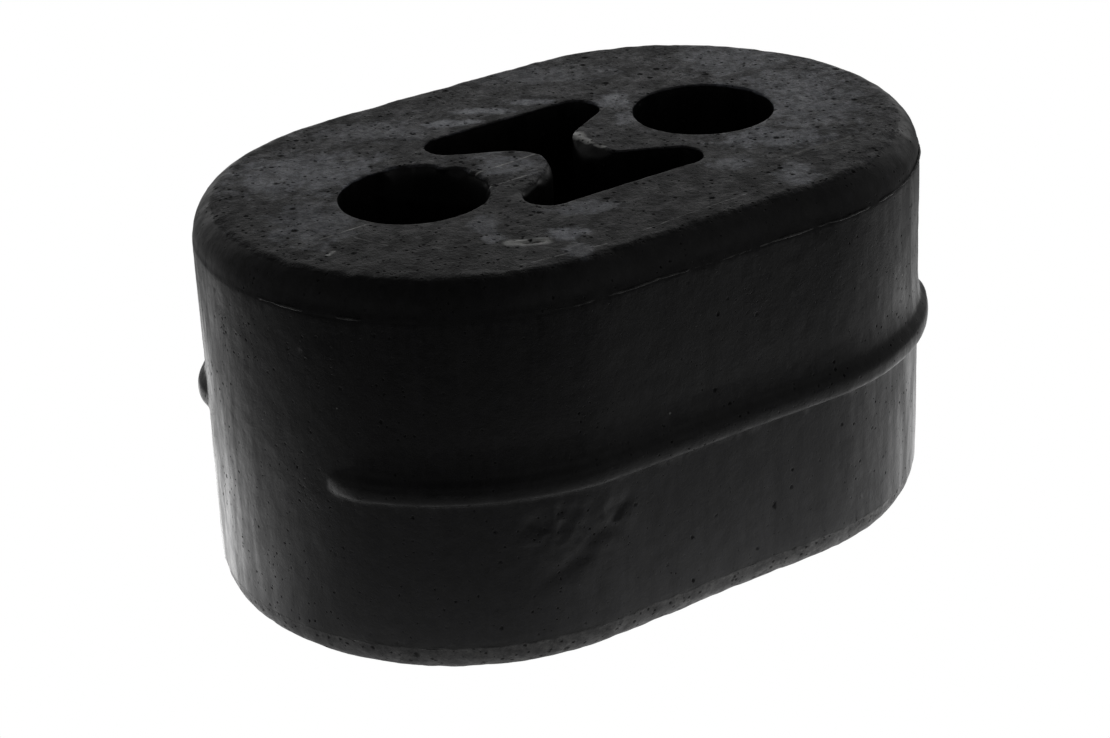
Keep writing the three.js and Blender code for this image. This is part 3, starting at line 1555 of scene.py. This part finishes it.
@dataclass(frozen=True)
class RubberFinish:
    """The used black rubber of the whole block.

    Attributes:
        form: The block's own sizes.
        black: Colour of the bare rubber.
        dust_and_painted_light: Colour of the dull film on the upper face, also laid faintly over the walls,
            where it is partly painted light.
        bloom: Colour of the pale bloom.
        scuff_and_highlight: Colour of rubbed places and scratches, and of the painted highlight on the
            right tongue's tip.
        foot: Colour of the rough band that it stands on, its paleness partly painted light from the floor
            below.
        dark: Colour of the painted shade deep in pits and openings, along the lower parting line and under
            the torn rim.
        gloss: Roughness of the moulded flanks.
        dull: Roughness of the upper face, dulled by weather.
        film: Roughness of the dull film.
    """

    form: BlockForm
    black: Point = (0.0042, 0.0041, 0.0044)
    dust_and_painted_light: Point = (0.097, 0.096, 0.109)
    bloom: Point = (0.30, 0.325, 0.39)
    scuff_and_highlight: Point = (0.62, 0.62, 0.60)
    foot: Point = (0.07, 0.0685, 0.066)
    dark: Point = (0.0012, 0.0012, 0.0013)
    gloss: float = 0.42
    dull: float = 0.56
    film: float = 0.42

    def build(self) -> bpy.types.Material:
        """Makes the material.

        Returns:
            The rubber's material.
        """
        material, sheet, shader = start_material("used_black_rubber")
        effects = SurfaceEffects()
        place = sheet.place()
        zone = sheet.use(effects.zones(self.form), Place=place)
        pit, patch, scratch = effects.pits(), effects.patch(), effects.scratch()
        ragged = sheet.scaled(sheet.noise(place, 0.75, 5, 0.6), 2.6, -1.3)
        turned = self._turned(sheet, place)
        rough = sheet.wander(place, 1.5, 0.5)
        bloom = self._masked(sheet, patch, BLOOM, Place=turned, Ragged=ragged)
        # Rubbed places, with the painted highlight on the right tongue's tip.
        rubbed = self._masked(sheet, patch, RUBBED_TIP_HIGHLIGHT, Place=turned, Ragged=sheet.product(ragged, 0.4))
        rubbed = sheet.most(rubbed, self._masked(sheet, scratch, BARED_AND_TIP_HIGHLIGHT, Place=rough))
        # The torn place under the left bore's rim: rougher, and painted shade.
        torn = self._masked(sheet, patch, TORN_RIM_SHADE, Place=turned, Ragged=sheet.product(ragged, 0.3))
        scratches = self._masked(sheet, scratch, SCRATCHES, Place=place)
        scratches = sheet.product(scratches, sheet.ramp(ragged, -0.35, 0.1))
        # The slit joins the pits: bumped, rougher and painted shade.
        slit = self._masked(sheet, scratch, SLIT, Place=rough)
        pits = sheet.most(self._pits(sheet, pit, place, zone), slit)
        # Pits, the slit and the torn place: rougher, and painted shade in the colour.
        rough_and_shaded = sheet.most(pits, torn)
        bright = sheet.use(pit, Place=place, Spacing=2.9, Size=0.11, Share=0.1)[0]
        colour, film = self._colour(sheet, place, zone, bloom, rubbed, scratches, bright, rough_and_shaded)
        bump = self._bump(sheet, place, zone, pits)
        shader["Specular IOR Level"].default_value = SPECULAR
        shader["Coat Roughness"].default_value = self.film
        link = material.node_tree.links.new
        link(colour, shader["Base Color"])
        link(film, shader["Coat Weight"])
        link(self._roughness(sheet, place, zone, rough_and_shaded), shader["Roughness"])
        link(bump, shader["Normal"])
        link(bump, shader["Coat Normal"])
        return material

    @staticmethod
    def _masked(
        sheet: NodeSheet, group: Group, marks: tuple[Patch | Scratch, ...], **shared: Socket
    ) -> Socket:
        """Masks a set of marks of one kind.

        Args:
            sheet: The tree that gets the nodes.
            group: The node group that masks one mark.
            marks: The marks.
            **shared: The inputs that are the same for all of them.

        Returns:
            The strongest mark at each place.
        """
        return sheet.most(*(sheet.use(group, **shared, **mark.sockets())[0] for mark in marks))

    @staticmethod
    def _pits(sheet: NodeSheet, group: Group, place: Socket, zone: Sockets) -> Socket:
        """Scatters large pits thinly and small ones thickly, most of them in loose clusters.

        Args:
            sheet: The tree that gets the nodes.
            group: The node group of scattered pits.
            place: The place, in millimetres.
            zone: Masks of the block's surfaces.

        Returns:
            The mask of the pits.
        """
        bent = sheet.wander(place, 5.5, 0.22)
        cluster = sheet.ramp(sheet.noise(place, 0.2, 4, 0.65), 0.42, 0.58)
        open_skin = sheet.most(zone["Foot"], sheet.product(zone["Face"], 0.8))
        more = sheet.most(cluster, open_skin)
        breadth = sheet.scaled(open_skin, 0.11, 0.16)
        large = sheet.use(group, Place=bent, Spacing=1.3, Size=breadth, Share=0.5)[0]
        breadth = sheet.scaled(open_skin, 0.04, 0.1)
        small = sheet.use(group, Place=bent, Spacing=0.5, Size=breadth, Share=0.6)[0]
        small = sheet.product(small, sheet.scaled(more, 0.75, 0.18))
        return sheet.most(sheet.product(large, sheet.scaled(more, 0.75, 0.2)), small)

    def _colour(
        self,
        sheet: NodeSheet,
        place: Socket,
        zone: Sockets,
        bloom: Socket,
        rubbed: Socket,
        scratches: Socket,
        bright: Socket,
        pits: Socket,
    ) -> tuple[Socket, Socket]:
        """Lays a dusty film, bloom and scuffs over the black, with painted light on the lower walls, the
        foot and the left of the upper band, a painted highlight on the right tongue's tip and painted shade
        in pits, openings and along the lower parting line.

        Args:
            sheet: The tree that gets the nodes.
            place: The place, in millimetres.
            zone: Masks of the block's surfaces.
            bloom: Mask of the pale bloom.
            rubbed: Mask of the rubbed places, with the painted highlight on the right tongue's tip.
            scratches: Mask of the scratches.
            bright: Mask of the few bright specks.
            pits: Mask of pits, the slit and the torn rubber under the left bore's rim, where no film lies
                and painted shade goes.

        Returns:
            The colour, and the weight of the dull film on top of it.
        """
        turned = self._turned(sheet, place)
        drawn = sheet.vector("MULTIPLY", turned, (1.0, 0.55, 1.0))
        axis = sheet.parts(turned)
        wide = sheet.ramp(sheet.noise(place, 0.24, 5, 0.68), 0.42, 0.6)
        fine = sheet.ramp(sheet.noise(drawn, 1.3, 6, 0.75), 0.36, 0.66)
        clear = sheet.rest(pits)

        mottle = sheet.product(sheet.scaled(wide, 0.75, 0.25), sheet.scaled(fine, 0.8, 0.1))
        mottle = sheet.product(mottle, sheet.ramp(axis["Y"], -22.0, 12.0, 0.1, 1.05))
        grey = sheet.product(zone["Face"], mottle, clear)

        # The rough foot band goes pale, partly as painted light from the floor below, fainter towards the
        # left end.
        foot = sheet.product(zone["Foot"], sheet.scaled(fine, 0.8, 0.2), sheet.scaled(wide, 0.45, 0.55))
        foot = sheet.product(foot, sheet.ramp(axis["X"], -24.0, -6.0, 0.4, 1.0))

        marks = sheet.ramp(sheet.noise(self._upright(sheet, place), 0.55, 3, 0.6), 0.5, 0.8)
        wall = sheet.product(sheet.scaled(marks, 0.06, sheet.product(fine, 0.05)), clear)
        # Painted light: the lower half of the walls goes a little paler, as if lit by the floor.
        wall = sheet.scaled(zone["Low"], 0.05, wall)
        # Painted light: the upper band goes paler towards the left end.
        band_left_light = sheet.product(zone["Band"], sheet.ramp(axis["X"], -16.0, -28.0, 0.0, 0.1))
        wall = sheet.scaled(band_left_light, fine, wall)

        pale = sheet.product(bloom, sheet.scaled(fine, 0.55, 0.48), clear)
        pale = sheet.math("MULTIPLY", pale, zone["Face"], clamp=True)
        # Scratches, specks, rubbed places and the painted highlight on the right tongue's tip go pale.
        white = sheet.most(rubbed, sheet.product(scratches, sheet.scaled(fine, 0.7, 0.3)))
        white = sheet.product(sheet.most(sheet.product(bright, 0.3), white), clear)
        # Painted shade: pits, the slit, the place under the torn rim, the inside of the openings and the
        # line along the lower parting line go dark, except under the pale marks.
        painted_shade = sheet.most(pits, sheet.product(zone["Inner"], 0.85), zone["Seam"])
        painted_shade = sheet.math("SUBTRACT", painted_shade, white, clamp=True)

        colour = sheet.blend(sheet.most(grey, wall), self.black, self.dust_and_painted_light)
        colour = sheet.blend(foot, colour, self.foot)
        colour = sheet.blend(pale, colour, self.bloom)
        colour = sheet.blend(white, colour, self.scuff_and_highlight)
        colour = sheet.blend(sheet.product(painted_shade, 0.9), colour, self.dark)

        shine = sheet.scaled(grey, 0.3, sheet.product(pale, 0.85), clamp=True)
        shine = sheet.product(sheet.most(shine, sheet.product(foot, 0.3)), sheet.rest(zone["Inner"]))
        return colour, sheet.most(shine, sheet.product(white, 0.8))

    @staticmethod
    def _turned(sheet: NodeSheet, place: Socket) -> Socket:
        """Turns the place to the slanting direction along which the film was wiped."""
        return sheet.add("ShaderNodeMapping", {"Vector": place, "Rotation": (0, 0, GRAIN_TURN)}).outputs[0]

    @staticmethod
    def _upright(sheet: NodeSheet, place: Socket) -> Socket:
        """Stretches the pattern's place upright, for marks that run up the walls."""
        return sheet.add("ShaderNodeMapping", {"Vector": place, "Scale": (1.6, 1.6, 0.28)}).outputs[0]

    def _roughness(self, sheet: NodeSheet, place: Socket, zone: Sockets, pits: Socket) -> Socket:
        """Varies the gloss: even on the bands, uneven on the walls, dull on the upper face.

        Args:
            sheet: The tree that gets the nodes.
            place: The place, in millimetres.
            zone: Masks of the block's surfaces.
            pits: Mask of pits and torn rubber.

        Returns:
            The roughness.
        """
        uneven = sheet.ramp(sheet.noise(self._upright(sheet, place), 0.4, 5, 0.7), 0.32, 0.68, -0.09, 0.11)
        level = sheet.math("ADD", sheet.ramp(zone["Face"], 0, 1, self.gloss, self.dull), uneven)
        level = sheet.scaled(zone["Foot"], 0.15, level)
        return sheet.scaled(pits, 0.6, level, clamp=True)

    @staticmethod
    def _bump(sheet: NodeSheet, place: Socket, zone: Sockets, pits: Socket) -> Socket:
        """Adds the fine relief: grain and pits.

        Args:
            sheet: The tree that gets the nodes.
            place: The place, in millimetres.
            zone: Masks of the block's surfaces.
            pits: Mask of the pits.

        Returns:
            The bent normal.
        """
        coarse = sheet.noise(place, 1.3, 4, 0.7)
        grain = sheet.noise(place, 4.5, 3, 0.6)
        rough = sheet.scaled(sheet.most(zone["Face"], zone["Foot"]), 0.6, 0.4)
        height = sheet.product(sheet.scaled(grain, 0.35, coarse), rough)
        height = sheet.product(height, sheet.scaled(zone["Face"], 0.8, 1.0))
        height = sheet.scaled(pits, sheet.scaled(zone["Face"], -1.2, -0.55), height)
        sockets = {"Strength": 0.5, "Distance": 0.00016, "Height": height}
        return sheet.add("ShaderNodeBump", sockets).outputs[0]


@dataclass(frozen=True)
class FlashFinish:
    """The thin ragged rubber of a flash line, a little paler where it is rubbed, the paleness partly a
    painted highlight.

    Attributes:
        rubber: Colour of the bare rubber.
        rubbed: Colour of the rubbed crests, partly a painted highlight.
        gloss: Its roughness.
    """

    rubber: Point = (0.008, 0.008, 0.0085)
    rubbed: Point = (0.09, 0.09, 0.088)
    gloss: float = 0.45

    def build(self) -> bpy.types.Material:
        """Makes the material.

        Returns:
            The material of both flash lines.
        """
        material, sheet, shader = start_material("rubber_flash")
        place = sheet.place()
        # Paler rubbed crests, partly a painted highlight along the fin.
        rubbed = sheet.ramp(sheet.noise(place, 0.6, 4, 0.65), 0.42, 0.66)
        grain = sheet.noise(place, 5.0, 3, 0.6)
        bump = sheet.add("ShaderNodeBump", {"Strength": 0.4, "Distance": 0.0001, "Height": grain})
        shader["Specular IOR Level"].default_value = SPECULAR
        link = material.node_tree.links.new
        link(sheet.blend(rubbed, self.rubber, self.rubbed), shader["Base Color"])
        link(sheet.scaled(grain, 0.2, self.gloss - 0.1), shader["Roughness"])
        link(bump.outputs[0], shader["Normal"])
        return material


@dataclass
class Studio:
    """The pale floor and the soft light.

    All directions are the view's own: across to the right, and away from the camera.

    Attributes:
        form: The block's own sizes.
        azimuth: Degrees by which the light is turned with the photograph's view.
        pool: Distances from the block, in metres, between which the floor's pool of light fades.
        close: Distances between which the brightest part of the pool, right by the block, rises.
        wide: Distances between which the light far to its left rises.
        far: Distances between which that light fades.
        outside: How much of the pool's light is left far out.
        front: Brightness of the floor in front of the block.
        back: Brightness that is added behind it.
        left: Brightness that is added to its left.
        haze: Brightness of the surroundings low down behind the block.
        ceiling: Brightness of the surroundings overhead.
        floor_size: The floor's width, in metres.
    """

    form: BlockForm
    azimuth: float = VIEW_AZIMUTH
    pool: tuple[float, float] = (0.005, 0.075)
    close: tuple[float, float] = (0.031, 0.0)
    wide: tuple[float, float] = (0.018, 0.031)
    far: tuple[float, float] = (0.037, 0.05)
    outside: float = 0.1
    front: float = 0.26
    back: float = 3.2
    left: float = 1.4
    haze: float = 0.7
    ceiling: float = 0.035
    floor_size: float = 6.0

    def build(self) -> bpy.types.Object:
        """Builds the floor and the surroundings.

        Returns:
            The floor.
        """
        bpy.ops.object.select_all(action="DESELECT")
        bpy.ops.mesh.primitive_plane_add(size=self.floor_size, location=(0, 0, 0))
        floor = bpy.context.object
        floor.name = "studio_floor"
        floor.data.materials.append(self._floor_finish())
        self._surround()
        bpy.context.scene.view_settings.view_transform = "Standard"
        return floor

    def _view_parts(self, sheet: NodeSheet, place: Socket) -> Sockets:
        """Turns a place or direction to the view's own axes.

        Args:
            sheet: The tree that gets the nodes.
            place: The vector to turn.

        Returns:
            The sockets X, Y and Z.
        """
        turn = (0, 0, -math.radians(self.azimuth))
        turned = sheet.add("ShaderNodeMapping", {"Vector": place, "Rotation": turn})
        return sheet.parts(turned.outputs[0])

    def _floor_finish(self) -> bpy.types.Material:
        """Makes the floor's finish: plain white to the camera, a graded pool of light to the block.

        Returns:
            The floor's material.
        """
        material, sheet, shader = start_material("pale_floor")
        seen = sheet.add("ShaderNodeLightPath").outputs["Is Camera Ray"]
        mixed = sheet.add("ShaderNodeMix", {0: seen, 2: self._pool(sheet), 3: 1.0}).outputs[0]
        shader["Base Color"].default_value = (0, 0, 0, 1)
        shader["Roughness"].default_value = 1.0
        shader["Specular IOR Level"].default_value = 0.0
        shader["Emission Color"].default_value = (1, 1, 1, 1)
        material.node_tree.links.new(mixed, shader["Emission Strength"])
        return material

    def _pool(self, sheet: NodeSheet) -> Socket:
        """Grades the floor's light by direction and by distance from the block.

        Args:
            sheet: The tree that gets the nodes.

        Returns:
            The brightness.
        """
        place = sheet.add("ShaderNodeTexCoord").outputs["Object"]
        parts = self._view_parts(sheet, sheet.vector("NORMALIZE", place))
        x, y = parts["X"], parts["Y"]
        off = sheet.from_line(place, self.form.centre * MM)
        beyond = sheet.math("SUBTRACT", off, self.form.radius * MM)

        behind = sheet.ramp(y, sheet.ramp(x, -0.6, 0.2, -0.6, -0.7), 0.78, 0.0, self.back)
        behind = sheet.product(behind, sheet.ramp(sheet.math("ABSOLUTE", x), 0.1, 0.7, 1.0, 0.45))
        behind = sheet.math("ADD", behind, sheet.ramp(x, 0.0, 0.8, self.front, self.front + 0.08))

        left = sheet.product(sheet.ramp(x, -0.5, -0.95), sheet.ramp(y, -0.85, 0.1, 0.0, 3.0))
        near = sheet.math("ADD", left, sheet.ramp(x, -0.2, 0.3, 0.0, 0.2))
        near = sheet.product(sheet.ramp(beyond, *self.close), near)
        near = sheet.math("ADD", near, sheet.ramp(beyond, 0.011, 0.0, 0.0, 0.32))

        beside = sheet.product(
            sheet.ramp(x, -0.2, -0.55, 0.0, self.left),
            sheet.ramp(x, -0.6, -0.85, 1.0, 0.7),
            sheet.ramp(y, 0.0, 0.4),
            sheet.ramp(beyond, *self.wide),
            sheet.ramp(beyond, *self.far, 1.0, 0.12),
        )
        pool = sheet.ramp(beyond, *self.pool, 1.0, self.outside)
        glow = sheet.math("ADD", sheet.scaled(pool, behind, beside), near)
        return sheet.product(glow, sheet.ramp(beyond, -0.009, -0.004, 0.06, 1.0))

    def _surround(self) -> None:
        """Lights the block from all round: brightest low down behind it, dim in front and overhead."""
        world = bpy.data.worlds.new("studio_surround")
        bpy.context.scene.world = world
        world.use_nodes = True
        sheet = NodeSheet(world.node_tree)
        parts = self._view_parts(sheet, sheet.add("ShaderNodeTexCoord").outputs["Generated"])
        low = sheet.ramp(parts["Z"], 0.64, 0.28)
        behind = sheet.ramp(parts["Y"], 0.58, 0.94, 0.08, 1.0)
        radiance = sheet.scaled(sheet.product(low, behind), self.haze, self.ceiling)
        radiance = sheet.math("ADD", radiance, sheet.ramp(parts["X"], 0.0, 0.8, 0.0, 0.12))
        radiance = sheet.math("ADD", radiance, sheet.ramp(parts["X"], -0.1, -0.7, 0.0, 0.06))
        background = world.node_tree.nodes["Background"].inputs
        background["Color"].default_value = (1, 1, 1, 1)
        world.node_tree.links.new(radiance, background["Strength"])


def upper_flash(places: np.ndarray) -> np.ndarray:
    """Says where the upper parting line shows flash: two short bits, and all along from the front left.

    Args:
        places: Rows of x, y, z in millimetres.

    Returns:
        How far it stands out at each, from 0 to 1.
    """
    x = places[:, 0]
    bits = fade(np.abs(x + 30.5), 0.9, 0.5) + fade(np.abs(x + 28.0), 0.8, 0.5)
    bits = bits * fade(places[:, 1], 0.5, -1.5)
    return np.maximum(np.minimum(bits, 1.0), fade(x, -17.5, -15.5))


def lower_flash(places: np.ndarray) -> np.ndarray:
    """Says that the lower parting line stands half out all round.

    Args:
        places: Rows of x, y, z in millimetres.

    Returns:
        How far it stands out at each, from 0 to 1.
    """
    return np.full(len(places), 0.5)


def dress(piece: bpy.types.Object, finish: bpy.types.Material) -> None:
    """Gives a piece its finish and its body, and reports it.

    Args:
        piece: The piece.
        finish: Its material.
    """
    piece.data.materials.clear()
    piece.data.materials.append(finish)
    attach(piece, BODY)
    LOG.info("%s: %d faces", piece.name, len(piece.data.polygons))


def main() -> None:
    """Builds the scene piece by piece."""
    logging.basicConfig(level=logging.INFO, format="%(name)s: %(message)s")
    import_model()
    form = BlockForm()
    PhotoCamera().build()
    Studio(form).build()
    block = HangerBlock().build()
    block.name = "hanger_block_worn"
    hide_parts(CAD_NODE)
    dress(block, RubberFinish(form).build())
    flash = FlashFinish().build()
    upper = form.height - form.parting + FLASH_OFFSET
    lower = form.parting - FLASH_OFFSET
    dress(FlashLine(form, "upper_flash_line", upper, 307, upper_flash).build(), flash)
    dress(FlashLine(form, "lower_flash_line", lower, 411, lower_flash).build(), flash)


if __name__ == "__main__":
    main()
